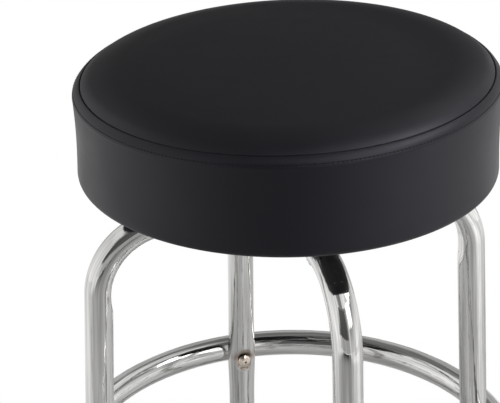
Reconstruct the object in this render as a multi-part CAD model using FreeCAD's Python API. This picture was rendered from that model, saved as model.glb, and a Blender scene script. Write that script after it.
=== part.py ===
import FreeCAD, Part
import math
import os

# Round swivel stool: padded vinyl seat, ball bearing swivel, four bent tube legs and a foot ring.
# Millimetres. The origin is on the floor under the seat's axis, +Z is up, the legs lie on X and Y.

# Seat cover, outside sizes
SEAT_TOP_HEIGHT = 610.0  # floor to the middle of the crown
SEAT_DIAMETER = 368.0  # over the rolled lip of the side band
SEAM_INSET = 6.8  # seam inside the widest line
CROWN_RADIUS = 2200.0  # gentle crown of the top panel
SHOULDER_RADIUS = 60.0  # top panel where it rolls down to the seam
SHOULDER_SLOPE = 33.0  # degrees, slope of the top panel at the seam
LIP_RADIUS = 12.0  # side band where it rolls over below the seam
BAND_HEIGHT = 87.0  # seam to the underside
SIDE_DRAW_IN = 0.8  # side band drawn in at the underside
FOLD_RADIUS = 5.0  # side band folded under the board
HEM_WIDTH = 32.0  # side band under the board, inside the fold
VINYL_THICKNESS = 1.2
SEAM_GAP = 0.2  # between the two sewn edges
COVER_CLEARANCE = 0.3  # cover to foam and board

# Seat board and what is fixed to it
BOARD_THICKNESS = 12.0
DUST_COVER_THICKNESS = 0.6
DUST_COVER_LAP = 18.0  # dust cover over the hem
DUST_COVER_SLOPE = 5.0  # run over which it steps down onto the hem
STAPLE_COUNT = 24
STAPLE_CROWN = 10.0
STAPLE_LEG = 8.0
STAPLE_WIRE = 1.0
STAPLE_EDGE = 7.0  # staple line to the dust cover's edge
SEAT_BOLT_CIRCLE = 96.0  # radius
TEE_FLANGE_RADIUS = 9.5
TEE_FLANGE_THICKNESS = 1.3
TEE_BARREL_RADIUS = 4.0
TEE_BARREL_LENGTH = 9.0
TEE_BARREL_CLEARANCE = 0.1
TEE_PRONG_LENGTH = 6.0
TEE_PRONG_WIDTH = 3.0
TEE_PRONG_THICKNESS = 1.0
TEE_POCKET_CLEARANCE = 0.3  # foam round the flange
BOLT_SETBACK = 1.0  # bolt tip below the board's upper face

# Six millimetre bolts
BOLT_RADIUS = 3.0
HOLE_CLEARANCE = 0.3
THREAD_CLEARANCE = 0.05
HEX_ACROSS_FLATS = 10.0
HEX_HEAD_HEIGHT = 4.0
NUT_HEIGHT = 5.0
NUT_FLANGE_RADIUS = 7.0
NUT_FLANGE_THICKNESS = 1.2
BOLT_END = 2.0  # bolt past its nut
LOCK_WASHER_RADIUS = 5.4
LOCK_WASHER_THICKNESS = 1.6
LOCK_WASHER_SLIT = 0.8

# Swivel
SWIVEL_HEIGHT = 27.0  # over both flanges
PLATE_SIDE = 170.0
PLATE_CORNER_RADIUS = 16.0
PLATE_THICKNESS = 2.5
BALL_COUNT = 12
BALL_DIAMETER = 8.0
RACE_RADIUS = 30.0
GROOVE_DEPTH = 1.2
RACE_CLEARANCE = 0.05
RACE_LAND = 9.0  # flat of the boss outside the race
BOSS_WALL_ANGLE = 46.0  # degrees from the flange
CAGE_WIDTH = 14.0
CAGE_THICKNESS = 1.6
CAGE_CLEARANCE = 0.2
RIVET_RADIUS = 8.0
RIVET_WALL = 2.5
RIVET_FLANGE_RADIUS = 13.0
RIVET_FLANGE_THICKNESS = 2.0
RIVET_CLEARANCE = 0.05
THRUST_WASHER_THICKNESS = 1.5
THRUST_CLEARANCE = 0.1

# Legs
TUBE_DIAMETER = 25.4
TUBE_WALL = 1.5
LEG_INNER_RADIUS = 30.0  # inner end of the leg from the stool's axis
LEG_TOP_RUN = 79.5  # straight run under the plate
BEND_RADIUS = 64.0  # on the tube's axis
BEND_CRUSH = 3.0  # depth pressed flat on the inside of the bend
LEG_SPLAY = 2.5  # degrees from upright
LEG_BOLT_EDGE = 30.0  # first bolt from the leg's inner end
LEG_BOLT_SPACING = 20.0
SADDLE_WASHER_RADIUS = 7.0
SADDLE_WASHER_THICKNESS = 2.0
SADDLE_CLEARANCE = 0.05

# Foot ring and its joints
RING_TUBE_DIAMETER = 25.4
RING_WALL = 1.5
RING_HEIGHT = 218.0  # floor to the tube's axis
RING_PRESS = 5.8  # depth of the saddle that the ring sits in
JOINT_CLEARANCE = 0.1
BOLT_SEAT_RADIUS = 22.0  # dimple pressed into the leg for the bolt head
BOLT_SEAT_DEPTH = 2.8
DOME_HEAD_RADIUS = 6.2
DOME_HEAD_HEIGHT = 3.6
DOME_HEAD_RIM = 0.9
SOCKET_ACROSS_FLATS = 4.0
SOCKET_DEPTH = 2.0
INSERT_RADIUS = 4.5
INSERT_LENGTH = 15.0
INSERT_COLLAR_RADIUS = 6.0
INSERT_COLLAR_LENGTH = 3.0
INSERT_CLEARANCE = 0.1

# Plastic plugs at both ends of each leg
FOOT_HEIGHT = 10.0  # floor to the tube's end, along the leg
FOOT_RADIUS = 13.7
FOOT_BASE_RADIUS = 12.4
FOOT_SHOULDER = 3.0
PLUG_HEAD_THICKNESS = 2.2
PLUG_HEAD_CHAMFER = 0.8
PLUG_STEM_LENGTH = 20.0
PLUG_STEM_WALL = 2.0
PLUG_RIB_COUNT = 3
PLUG_RIB_HEIGHT = 1.0
PLUG_RIB_WIDTH = 1.6
PLUG_CLEARANCE = 0.15

OVERRUN = 2.0  # cutters run this far past what they cut
FULL_TURN = 360.0
LEG_ANGLES = {"right": 0.0, "back": 90.0, "left": 180.0, "front": 270.0}
CORNER_ANGLES = (45.0, 135.0, 225.0, 315.0)

ORIGIN = FreeCAD.Vector(0, 0, 0)
X_AXIS = FreeCAD.Vector(1, 0, 0)
Y_AXIS = FreeCAD.Vector(0, 1, 0)
Z_AXIS = FreeCAD.Vector(0, 0, 1)


# Small drawing helpers

def at(radius, height):
    """A point of a profile in the XZ plane."""
    return FreeCAD.Vector(radius, 0, height)


def arc(centre, radius, start, end):
    """An arc in the XZ plane between two angles in radians, measured from +X."""
    angles = (start, (start + end) / 2, end)
    points = [centre + at(radius * math.cos(a), radius * math.sin(a)) for a in angles]
    return Part.Arc(*points).toShape()


def polyline(*points):
    """Straight edges from point to point."""
    return [Part.makeLine(a, b) for a, b in zip(points, points[1:])]


def ends(edge):
    """The first and last point of an edge."""
    return edge.valueAt(edge.FirstParameter), edge.valueAt(edge.LastParameter)


def face_of(edges):
    """A flat face inside a closed run of edges."""
    return Part.Face(Part.Wire(Part.__sortEdges__(edges)))


def revolved(edges):
    """A solid turned about the Z axis from a closed profile in the XZ plane."""
    return face_of(edges).revolve(ORIGIN, Z_AXIS, FULL_TURN)


def turned(shape, angle, axis=Z_AXIS):
    """A copy turned about an axis through the origin."""
    copy = shape.copy()
    copy.rotate(ORIGIN, axis, angle)
    return copy


def shifted(shape, offset):
    """A copy moved by a vector."""
    copy = shape.copy()
    copy.translate(offset)
    return copy


def upright(radius, bottom, top, x=0.0, y=0.0):
    """An upright cylinder between two heights."""
    return Part.makeCylinder(radius, top - bottom, FreeCAD.Vector(x, y, bottom), Z_AXIS)


def along_x(radius, start, end, height):
    """A cylinder along X between two places."""
    return Part.makeCylinder(radius, end - start, at(start, height), X_AXIS)


def hex_prism(across_flats, bottom, top):
    """An upright hexagon between two heights."""
    corner = across_flats / math.sqrt(3)
    angles = [math.radians(60 * i) for i in range(6)]
    points = [FreeCAD.Vector(corner * math.cos(a), corner * math.sin(a), bottom) for a in angles]
    return Part.Face(Part.makePolygon(points + points[:1])).extrude(Z_AXIS * (top - bottom))


def group(shape, angles):
    """Separate copies of a shape, turned about the stool's axis."""
    return Part.makeCompound([turned(shape, a) for a in angles])


# Seat cover: where its arcs have their centres

seat_radius = SEAT_DIAMETER / 2
seam_radius = seat_radius - SEAM_INSET
shoulder_slope = math.radians(SHOULDER_SLOPE)
shoulder_run = SHOULDER_RADIUS * math.sin(shoulder_slope)
shoulder_start = (seam_radius - shoulder_run) / (1 - SHOULDER_RADIUS / CROWN_RADIUS)
crown_slope = math.asin(shoulder_start / CROWN_RADIUS)
crown_centre = at(0, SEAT_TOP_HEIGHT - CROWN_RADIUS)
crown_to_shoulder = CROWN_RADIUS - SHOULDER_RADIUS
shoulder_centre = crown_centre + at(math.sin(crown_slope), math.cos(crown_slope)) * crown_to_shoulder
seam_height = shoulder_centre.z + SHOULDER_RADIUS * math.cos(shoulder_slope)
lip_slope = math.asin(1 - SEAM_INSET / LIP_RADIUS)
lip_centre = at(seat_radius - LIP_RADIUS, seam_height - LIP_RADIUS * math.cos(lip_slope))
seat_bottom = seam_height - BAND_HEIGHT
fold_centre = at(seat_radius - SIDE_DRAW_IN - FOLD_RADIUS, seat_bottom + FOLD_RADIUS)
lip_to_fold = fold_centre - lip_centre
side_turn = math.acos((LIP_RADIUS - FOLD_RADIUS) / lip_to_fold.Length)
side_facing = math.atan2(lip_to_fold.z, lip_to_fold.x) + side_turn
hem_radius = fold_centre.x - HEM_WIDTH
quarter = math.pi / 2


def crown_arcs(depth, seam_trim=0.0):
    """The top panel's crown and shoulder, at a depth under the outside."""
    trim = seam_trim / SHOULDER_RADIUS
    crown = arc(crown_centre, CROWN_RADIUS - depth, quarter, quarter - crown_slope)
    shoulder_end = quarter - shoulder_slope + trim
    shoulder = arc(shoulder_centre, SHOULDER_RADIUS - depth, quarter - crown_slope, shoulder_end)
    return [crown, shoulder]


def lip_arc(depth):
    """The rolled lip of the side band, from the seam to the flat side."""
    return arc(lip_centre, LIP_RADIUS - depth, quarter - lip_slope, side_facing)


def fold_arc(depth):
    """The side band's fold under the board."""
    return arc(fold_centre, FOLD_RADIUS - depth, side_facing, -quarter)


def seat_top_panel():
    outside = crown_arcs(0.0, SEAM_GAP)
    inside = crown_arcs(VINYL_THICKNESS, SEAM_GAP)
    edge = polyline(ends(outside[1])[1], ends(inside[1])[1])
    middle = polyline(ends(outside[0])[0], ends(inside[0])[0])
    return revolved(outside + inside + edge + middle)


def seat_side_band():
    edges = []
    for depth in (0.0, VINYL_THICKNESS):
        lip = lip_arc(depth)
        fold = fold_arc(depth)
        hem_end = at(hem_radius, seat_bottom + depth)
        edges += [lip, fold]
        edges += polyline(ends(lip)[1], ends(fold)[0])
        edges += polyline(ends(fold)[1], hem_end)
    edges += polyline(ends(lip_arc(0.0))[0], ends(lip_arc(VINYL_THICKNESS))[0])
    edges += polyline(at(hem_radius, seat_bottom), at(hem_radius, seat_bottom + VINYL_THICKNESS))
    return revolved(edges)


# Seat board, foam, dust cover and fasteners

filling_depth = VINYL_THICKNESS + COVER_CLEARANCE
board_bottom = seat_bottom + filling_depth
board_top = board_bottom + BOARD_THICKNESS
swivel_top = board_bottom - DUST_COVER_THICKNESS
bolt_hole_radius = BOLT_RADIUS + HOLE_CLEARANCE
thread_hole_radius = BOLT_RADIUS + THREAD_CLEARANCE


def side_at(height):
    """The place on the filling's flat side at a height."""
    start = ends(lip_arc(filling_depth))[1]
    end = ends(fold_arc(filling_depth))[0]
    share = (start.z - height) / (start.z - end.z)
    return at(start.x + (end.x - start.x) * share, height)


def seat_bolt_places():
    """Where the four seat bolts stand."""
    angles = [math.radians(a) for a in CORNER_ANGLES]
    return [(SEAT_BOLT_CIRCLE * math.cos(a), SEAT_BOLT_CIRCLE * math.sin(a)) for a in angles]


def foam_cushion():
    crown, shoulder = crown_arcs(filling_depth)
    lip = lip_arc(filling_depth)
    rim = side_at(board_top)
    edges = [crown, shoulder, lip]
    edges += polyline(ends(shoulder)[1], ends(lip)[0])
    edges += polyline(ends(lip)[1], rim, at(0, board_top), ends(crown)[0])
    pocket_radius = TEE_FLANGE_RADIUS + TEE_POCKET_CLEARANCE
    pocket_top = board_top + TEE_FLANGE_THICKNESS + TEE_POCKET_CLEARANCE
    pockets = [upright(pocket_radius, board_top - OVERRUN, pocket_top, x, y) for x, y in seat_bolt_places()]
    return revolved(edges).cut(pockets)


def seat_board():
    fold = fold_arc(filling_depth)
    edges = [fold]
    edges += polyline(ends(fold)[1], at(0, board_bottom), at(0, board_top), side_at(board_top), ends(fold)[0])
    hole = TEE_BARREL_RADIUS + TEE_BARREL_CLEARANCE
    holes = [upright(hole, board_bottom - OVERRUN, board_top + OVERRUN, x, y) for x, y in seat_bolt_places()]
    return revolved(edges).cut(holes)


def dust_cover():
    step_end = hem_radius - COVER_CLEARANCE
    rim = hem_radius + DUST_COVER_LAP
    upper = [at(0, board_bottom), at(step_end - DUST_COVER_SLOPE, board_bottom)]
    upper += [at(step_end, seat_bottom), at(rim, seat_bottom)]
    lower = [p - Z_AXIS * DUST_COVER_THICKNESS for p in reversed(upper)]
    cloth = revolved(polyline(*upper, *lower, upper[0]))
    places = seat_bolt_places()
    holes = [upright(bolt_hole_radius, swivel_top - OVERRUN, board_bottom + OVERRUN, x, y) for x, y in places]
    return cloth.cut(holes)


def cover_staples():
    outer = STAPLE_CROWN / 2
    inner = outer - STAPLE_WIRE
    crown_bottom = seat_bottom - DUST_COVER_THICKNESS - STAPLE_WIRE
    crown_top = crown_bottom + STAPLE_WIRE
    tip = crown_bottom + STAPLE_LEG
    outline = [(-outer, crown_bottom), (outer, crown_bottom), (outer, tip), (inner, tip), (inner, crown_top)]
    outline += [(-inner, crown_top), (-inner, tip), (-outer, tip), (-outer, crown_bottom)]
    staple_radius = hem_radius + DUST_COVER_LAP - STAPLE_EDGE
    points = [FreeCAD.Vector(staple_radius - STAPLE_WIRE / 2, y, z) for y, z in outline]
    staple = Part.Face(Part.makePolygon(points)).extrude(X_AXIS * STAPLE_WIRE)
    pitch = FULL_TURN / STAPLE_COUNT
    return group(staple, [pitch * (i + 0.5) for i in range(STAPLE_COUNT)])


def tee_nuts():
    barrel = upright(TEE_BARREL_RADIUS, board_top - TEE_BARREL_LENGTH, board_top + TEE_FLANGE_THICKNESS)
    flange = upright(TEE_FLANGE_RADIUS, board_top, board_top + TEE_FLANGE_THICKNESS)
    prong_radius = TEE_FLANGE_RADIUS - TEE_PRONG_THICKNESS * 2
    half = TEE_PRONG_WIDTH / 2
    corners = [(-half, board_top), (half, board_top), (0.0, board_top - TEE_PRONG_LENGTH), (-half, board_top)]
    outline = [FreeCAD.Vector(prong_radius, y, z) for y, z in corners]
    prong = Part.Face(Part.makePolygon(outline)).extrude(X_AXIS * TEE_PRONG_THICKNESS)
    prongs = [turned(prong, a) for a in LEG_ANGLES.values()]
    bore = upright(thread_hole_radius, board_top - TEE_BARREL_LENGTH - OVERRUN, board_top + OVERRUN * 2)
    nut = barrel.fuse([flange] + prongs).removeSplitter().cut(bore)
    return group(shifted(nut, X_AXIS * SEAT_BOLT_CIRCLE), CORNER_ANGLES)


def seat_lock_washers():
    top = swivel_top - PLATE_THICKNESS
    bottom = top - LOCK_WASHER_THICKNESS
    disc = upright(LOCK_WASHER_RADIUS, bottom, top)
    hole = upright(bolt_hole_radius, bottom - OVERRUN, top + OVERRUN)
    slit_corner = FreeCAD.Vector(0, -LOCK_WASHER_SLIT / 2, bottom)
    slit = Part.makeBox(LOCK_WASHER_RADIUS + OVERRUN, LOCK_WASHER_SLIT, LOCK_WASHER_THICKNESS, slit_corner)
    return group(shifted(disc.cut([hole, slit]), X_AXIS * SEAT_BOLT_CIRCLE), CORNER_ANGLES)


def seat_bolts():
    head_top = swivel_top - PLATE_THICKNESS - LOCK_WASHER_THICKNESS
    head = hex_prism(HEX_ACROSS_FLATS, head_top - HEX_HEAD_HEIGHT, head_top)
    shank = upright(BOLT_RADIUS, head_top - HEX_HEAD_HEIGHT / 2, board_top - BOLT_SETBACK)
    return group(shifted(head.fuse(shank), X_AXIS * SEAT_BOLT_CIRCLE), CORNER_ANGLES)


# Swivel: two pressed plates, balls between them, and a tubular rivet through both

swivel_bottom = swivel_top - SWIVEL_HEIGHT
swivel_middle = swivel_bottom + SWIVEL_HEIGHT / 2
ball_radius = BALL_DIAMETER / 2
groove_radius = ball_radius + RACE_CLEARANCE
boss_height = SWIVEL_HEIGHT / 2 - ball_radius + GROOVE_DEPTH
boss_floor = boss_height - PLATE_THICKNESS
boss_top_radius = RACE_RADIUS + RACE_LAND
boss_foot_radius = boss_top_radius + boss_floor / math.tan(math.radians(BOSS_WALL_ANGLE))
rivet_hole_radius = RIVET_RADIUS + RIVET_CLEARANCE


def race(radius, height):
    """The ring that the balls run in, at a distance from their centres."""
    return Part.makeTorus(RACE_RADIUS, radius, at(0, height), Z_AXIS)


def pressed_plate(bolt_places):
    """A square plate with a raised boss and a ball groove pressed in it, its flange on the XY plane."""
    edge = PLATE_SIDE / 2
    square = Part.makeBox(PLATE_SIDE, PLATE_SIDE, PLATE_THICKNESS, FreeCAD.Vector(-edge, -edge, 0))
    upright_edges = [e for e in square.Edges if abs(e.tangentAt(e.FirstParameter).z) > 0.5]
    flange = square.makeFillet(PLATE_CORNER_RADIUS, upright_edges)
    shift = PLATE_THICKNESS * math.tan(math.radians(BOSS_WALL_ANGLE) / 2)
    foot_inside = boss_foot_radius - shift
    upper = [at(rivet_hole_radius, boss_height), at(boss_top_radius, boss_height)]
    upper += [at(boss_foot_radius, PLATE_THICKNESS), at(boss_foot_radius + OVERRUN, PLATE_THICKNESS)]
    lower = [at(boss_foot_radius + OVERRUN, 0), at(foot_inside, 0)]
    lower += [at(boss_top_radius - shift, boss_floor), at(rivet_hole_radius, boss_floor)]
    boss = revolved(polyline(*upper, *lower, upper[0]))
    middle = SWIVEL_HEIGHT / 2
    bead_space = upright(boss_top_radius - shift, 0, boss_height)
    bead = race(groove_radius + PLATE_THICKNESS, middle).common(bead_space)
    opening = upright(foot_inside, -OVERRUN, PLATE_THICKNESS + OVERRUN)
    plate = flange.cut(opening).fuse([boss, bead]).removeSplitter()
    holes = [upright(bolt_hole_radius, -OVERRUN, PLATE_THICKNESS + OVERRUN, x, y) for x, y in bolt_places]
    return plate.cut([race(groove_radius, middle)] + holes)


def swivel_upper_plate():
    plate = turned(pressed_plate(seat_bolt_places()), FULL_TURN / 2, X_AXIS)
    return shifted(plate, Z_AXIS * swivel_top)


def swivel_lower_plate():
    diagonals = [math.radians(a) for a in CORNER_ANGLES]
    places = [(r * math.cos(a), r * math.sin(a)) for a in diagonals for r in leg_bolt_radii]
    plate = turned(pressed_plate(places), FULL_TURN / 8)
    return shifted(plate, Z_AXIS * swivel_bottom)


def bearing_balls():
    ball = Part.makeSphere(ball_radius, at(RACE_RADIUS, swivel_middle))
    pitch = FULL_TURN / BALL_COUNT
    return group(ball, [pitch * i for i in range(BALL_COUNT)])


def ball_cage():
    bottom = swivel_middle - CAGE_THICKNESS / 2
    top = swivel_middle + CAGE_THICKNESS / 2
    outer = upright(RACE_RADIUS + CAGE_WIDTH / 2, bottom, top)
    inner = upright(RACE_RADIUS - CAGE_WIDTH / 2, bottom - OVERRUN, top + OVERRUN)
    pocket = upright(ball_radius + CAGE_CLEARANCE, bottom - OVERRUN, top + OVERRUN, RACE_RADIUS)
    pitch = FULL_TURN / BALL_COUNT
    pockets = [turned(pocket, pitch * i) for i in range(BALL_COUNT)]
    return outer.cut([inner] + pockets)


thrust_face = swivel_top - boss_floor + THRUST_CLEARANCE


def thrust_washer():
    top = thrust_face + THRUST_WASHER_THICKNESS
    hole = upright(rivet_hole_radius, thrust_face - OVERRUN, top + OVERRUN)
    return upright(RIVET_FLANGE_RADIUS, thrust_face, top).cut(hole)


def centre_rivet():
    lower_face = swivel_bottom + boss_floor
    upper_face = thrust_face + THRUST_WASHER_THICKNESS
    bottom = lower_face - RIVET_FLANGE_THICKNESS
    top = upper_face + RIVET_FLANGE_THICKNESS
    lower_flange = upright(RIVET_FLANGE_RADIUS, bottom, lower_face)
    upper_flange = upright(RIVET_FLANGE_RADIUS, upper_face, top)
    shank = upright(RIVET_RADIUS, bottom, top)
    bore = upright(RIVET_RADIUS - RIVET_WALL, bottom - OVERRUN, top + OVERRUN)
    return shank.fuse([lower_flange, upper_flange]).removeSplitter().cut(bore)


# Legs: the right leg is drawn in the XZ plane, and the others are its turned copies

tube_radius = TUBE_DIAMETER / 2
bore_radius = tube_radius - TUBE_WALL
ring_tube_radius = RING_TUBE_DIAMETER / 2
leg_height = swivel_bottom - tube_radius
splay = math.radians(LEG_SPLAY)
bend_centre = at(LEG_INNER_RADIUS + LEG_TOP_RUN, leg_height - BEND_RADIUS)
bend_start = bend_centre + at(math.cos(splay), math.sin(splay)) * BEND_RADIUS
bend_end = bend_centre + at(0, BEND_RADIUS)
leg_up = at(-math.sin(splay), math.cos(splay))
floor_point = bend_start - leg_up * (bend_start.z / math.cos(splay))
tube_foot = floor_point + leg_up * FOOT_HEIGHT
tube_head = at(LEG_INNER_RADIUS, leg_height)
leg_radius_at_ring = floor_point.x - RING_HEIGHT * math.tan(splay)
ring_radius = leg_radius_at_ring + tube_radius + ring_tube_radius - RING_PRESS
first_leg_bolt = LEG_INNER_RADIUS + LEG_BOLT_EDGE
leg_bolt_radii = (first_leg_bolt, first_leg_bolt + LEG_BOLT_SPACING)
bolt_seat_floor = leg_radius_at_ring - tube_radius + BOLT_SEAT_DEPTH


def leg_form(depth, run_past):
    """The leg's bent and pressed outline at a depth under its surface."""
    foot = tube_foot - leg_up * run_past
    head = tube_head - X_AXIS * run_past
    bend = arc(bend_centre, BEND_RADIUS, splay, quarter)
    path = Part.Wire(polyline(foot, bend_start) + [bend] + polyline(bend_end, head))
    section = Part.Wire(Part.Circle(foot, leg_up, tube_radius - depth).toShape())
    tube = path.makePipeShell([section], True, False)
    crush_radius = BEND_RADIUS - tube_radius + BEND_CRUSH + depth
    across = Y_AXIS * TUBE_DIAMETER
    crush = Part.makeCylinder(crush_radius, across.Length * 2, bend_centre - across, Y_AXIS)
    ring = Part.makeTorus(ring_radius, ring_tube_radius + JOINT_CLEARANCE + depth, at(0, RING_HEIGHT), Z_AXIS)
    seat_centre = at(bolt_seat_floor - BOLT_SEAT_RADIUS, RING_HEIGHT)
    bolt_seat = Part.makeCylinder(BOLT_SEAT_RADIUS + depth, across.Length * 2, seat_centre - across, Y_AXIS)
    return tube.cut([crush, ring, bolt_seat])


def leg():
    low = leg_height - TUBE_DIAMETER
    high = leg_height + TUBE_DIAMETER
    holes = [upright(bolt_hole_radius, low, high, r) for r in leg_bolt_radii]
    holes.append(along_x(bolt_hole_radius, bolt_seat_floor - TUBE_DIAMETER, ring_radius, RING_HEIGHT))
    return leg_form(0.0, 0.0).cut(leg_form(TUBE_WALL, OVERRUN)).cut(holes)


def moulded_plug(head_edges, head_top):
    """A plug turned about Z: a head below, and a hollow ribbed stem that goes up into the tube."""
    stem_radius = bore_radius - PLUG_CLEARANCE - PLUG_RIB_HEIGHT
    head = revolved(head_edges)
    stem = upright(stem_radius, head_top - OVERRUN / 2, head_top + PLUG_STEM_LENGTH)
    pitch = PLUG_STEM_LENGTH / (PLUG_RIB_COUNT + 1)
    ribs = []
    for i in range(PLUG_RIB_COUNT):
        bottom = head_top + pitch * (i + 1) - PLUG_RIB_WIDTH / 2
        ribs.append(upright(bore_radius - PLUG_CLEARANCE, bottom, bottom + PLUG_RIB_WIDTH))
    hollow = upright(stem_radius - PLUG_STEM_WALL, head_top, head_top + PLUG_STEM_LENGTH + OVERRUN)
    return head.fuse([stem] + ribs).removeSplitter().cut(hollow)


def end_plug():
    rim = tube_radius - PLUG_HEAD_CHAMFER
    outline = [at(0, -PLUG_HEAD_THICKNESS), at(rim, -PLUG_HEAD_THICKNESS)]
    outline += [at(tube_radius, PLUG_HEAD_CHAMFER - PLUG_HEAD_THICKNESS), at(tube_radius, 0), at(0, 0)]
    plug = moulded_plug(polyline(*outline, outline[0]), 0.0)
    return shifted(turned(plug, FULL_TURN / 4, Y_AXIS), tube_head)


def foot_glide():
    base = -FOOT_HEIGHT * 2
    outline = [at(0, base), at(FOOT_BASE_RADIUS, base), at(FOOT_BASE_RADIUS, -FOOT_HEIGHT)]
    outline += [at(FOOT_RADIUS, -FOOT_SHOULDER), at(FOOT_RADIUS, 0), at(0, 0)]
    glide = moulded_plug(polyline(*outline, outline[0]), 0.0)
    glide = shifted(turned(glide, -LEG_SPLAY, Y_AXIS), tube_foot)
    room = FOOT_HEIGHT * 4
    under_floor = Part.makeBox(room, room, room, floor_point - FreeCAD.Vector(room / 2, room / 2, room))
    return glide.cut(under_floor)


saddle_bottom = leg_height - tube_radius - SADDLE_WASHER_THICKNESS


def saddle_washers():
    tube = along_x(tube_radius + SADDLE_CLEARANCE, 0, LEG_INNER_RADIUS + LEG_TOP_RUN * 2, leg_height)
    washers = []
    for radius in leg_bolt_radii:
        disc = upright(SADDLE_WASHER_RADIUS, saddle_bottom, leg_height, radius)
        hole = upright(bolt_hole_radius, saddle_bottom - OVERRUN, leg_height, radius)
        washers.append(disc.cut([tube, hole]))
    return group(Part.makeCompound(washers), LEG_ANGLES.values())


def leg_bolts():
    plate_face = swivel_bottom + PLATE_THICKNESS
    head = hex_prism(HEX_ACROSS_FLATS, saddle_bottom - HEX_HEAD_HEIGHT, saddle_bottom)
    shank = upright(BOLT_RADIUS, saddle_bottom - HEX_HEAD_HEIGHT / 2, plate_face + NUT_HEIGHT + BOLT_END)
    bolt = head.fuse(shank)
    bolts = [shifted(bolt, X_AXIS * radius) for radius in leg_bolt_radii]
    return group(Part.makeCompound(bolts), LEG_ANGLES.values())


def leg_nuts():
    plate_face = swivel_bottom + PLATE_THICKNESS
    top = plate_face + NUT_HEIGHT
    flange = upright(NUT_FLANGE_RADIUS, plate_face, plate_face + NUT_FLANGE_THICKNESS)
    bore = upright(thread_hole_radius, plate_face - OVERRUN, top + OVERRUN)
    nut = hex_prism(HEX_ACROSS_FLATS, plate_face, top).fuse(flange).removeSplitter().cut(bore)
    nuts = [shifted(nut, X_AXIS * radius) for radius in leg_bolt_radii]
    return group(Part.makeCompound(nuts), LEG_ANGLES.values())


# Foot ring and the bolts that hold it

def foot_ring():
    tube = Part.makeTorus(ring_radius, ring_tube_radius, at(0, RING_HEIGHT), Z_AXIS)
    bore = Part.makeTorus(ring_radius, ring_tube_radius - RING_WALL, at(0, RING_HEIGHT), Z_AXIS)
    inner_side = ring_radius - ring_tube_radius - OVERRUN
    hole = along_x(INSERT_RADIUS + INSERT_CLEARANCE, inner_side, ring_radius, RING_HEIGHT)
    return tube.cut([bore] + [turned(hole, a) for a in LEG_ANGLES.values()])


def ring_insert_nuts():
    start = ring_radius - math.sqrt(ring_tube_radius ** 2 - INSERT_RADIUS ** 2)
    end = start + INSERT_LENGTH
    inner_wall = ring_tube_radius - RING_WALL
    collar_start = ring_radius - math.sqrt(inner_wall ** 2 - INSERT_COLLAR_RADIUS ** 2) + INSERT_CLEARANCE
    barrel = along_x(INSERT_RADIUS, start, end, RING_HEIGHT)
    collar = along_x(INSERT_COLLAR_RADIUS, collar_start, collar_start + INSERT_COLLAR_LENGTH, RING_HEIGHT)
    bore = along_x(thread_hole_radius, start - OVERRUN, end + OVERRUN, RING_HEIGHT)
    return group(barrel.fuse(collar).removeSplitter().cut(bore), LEG_ANGLES.values())


def ring_bolts():
    hollow = BOLT_SEAT_RADIUS - math.sqrt(BOLT_SEAT_RADIUS ** 2 - DOME_HEAD_RADIUS ** 2)
    shank_end = ring_radius - ring_tube_radius + INSERT_LENGTH - BOLT_END
    under_head = bolt_seat_floor - hollow - JOINT_CLEARANCE
    length = shank_end - under_head
    dome_height = DOME_HEAD_HEIGHT - DOME_HEAD_RIM
    dome_radius = (DOME_HEAD_RADIUS ** 2 + dome_height ** 2) / (2 * dome_height)
    dome_centre = at(0, DOME_HEAD_HEIGHT - dome_radius)
    dome = arc(dome_centre, dome_radius, math.acos(DOME_HEAD_RADIUS / dome_radius), quarter)
    rim, top = ends(dome)
    shank = [at(0, -length), at(BOLT_RADIUS, -length), at(BOLT_RADIUS, 0)]
    outline = [top] + shank + [at(DOME_HEAD_RADIUS, 0), rim]
    socket = hex_prism(SOCKET_ACROSS_FLATS, DOME_HEAD_HEIGHT - SOCKET_DEPTH, DOME_HEAD_HEIGHT + OVERRUN)
    bolt = turned(revolved([dome] + polyline(*outline)).cut(socket), -FULL_TURN / 4, Y_AXIS)
    return group(shifted(bolt, at(under_head, RING_HEIGHT)), LEG_ANGLES.values())


pieces = {
    "seat_top_panel": seat_top_panel(),
    "seat_side_band": seat_side_band(),
    "foam_cushion": foam_cushion(),
    "seat_board": seat_board(),
    "dust_cover": dust_cover(),
    "cover_staples": cover_staples(),
    "tee_nuts": tee_nuts(),
    "seat_bolts": seat_bolts(),
    "seat_lock_washers": seat_lock_washers(),
    "swivel_upper_plate": swivel_upper_plate(),
    "ball_cage": ball_cage(),
    "bearing_balls": bearing_balls(),
    "swivel_lower_plate": swivel_lower_plate(),
    "centre_rivet": centre_rivet(),
    "thrust_washer": thrust_washer(),
    "leg_bolts": leg_bolts(),
    "saddle_washers": saddle_washers(),
    "leg_nuts": leg_nuts(),
    "foot_ring": foot_ring(),
    "ring_bolts": ring_bolts(),
    "ring_insert_nuts": ring_insert_nuts(),
}
right_leg = leg()
right_plug = end_plug()
right_glide = foot_glide()
for side, angle in LEG_ANGLES.items():
    pieces["leg_" + side] = turned(right_leg, angle)
    pieces["end_plug_" + side] = turned(right_plug, angle)
    pieces["foot_glide_" + side] = turned(right_glide, angle)

os.makedirs("parts", exist_ok=True)
for name, shape in pieces.items():
    shape.exportStep(os.path.join("parts", name + ".step"))
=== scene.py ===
import math

import bpy
from mathutils import Matrix, Vector


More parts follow.
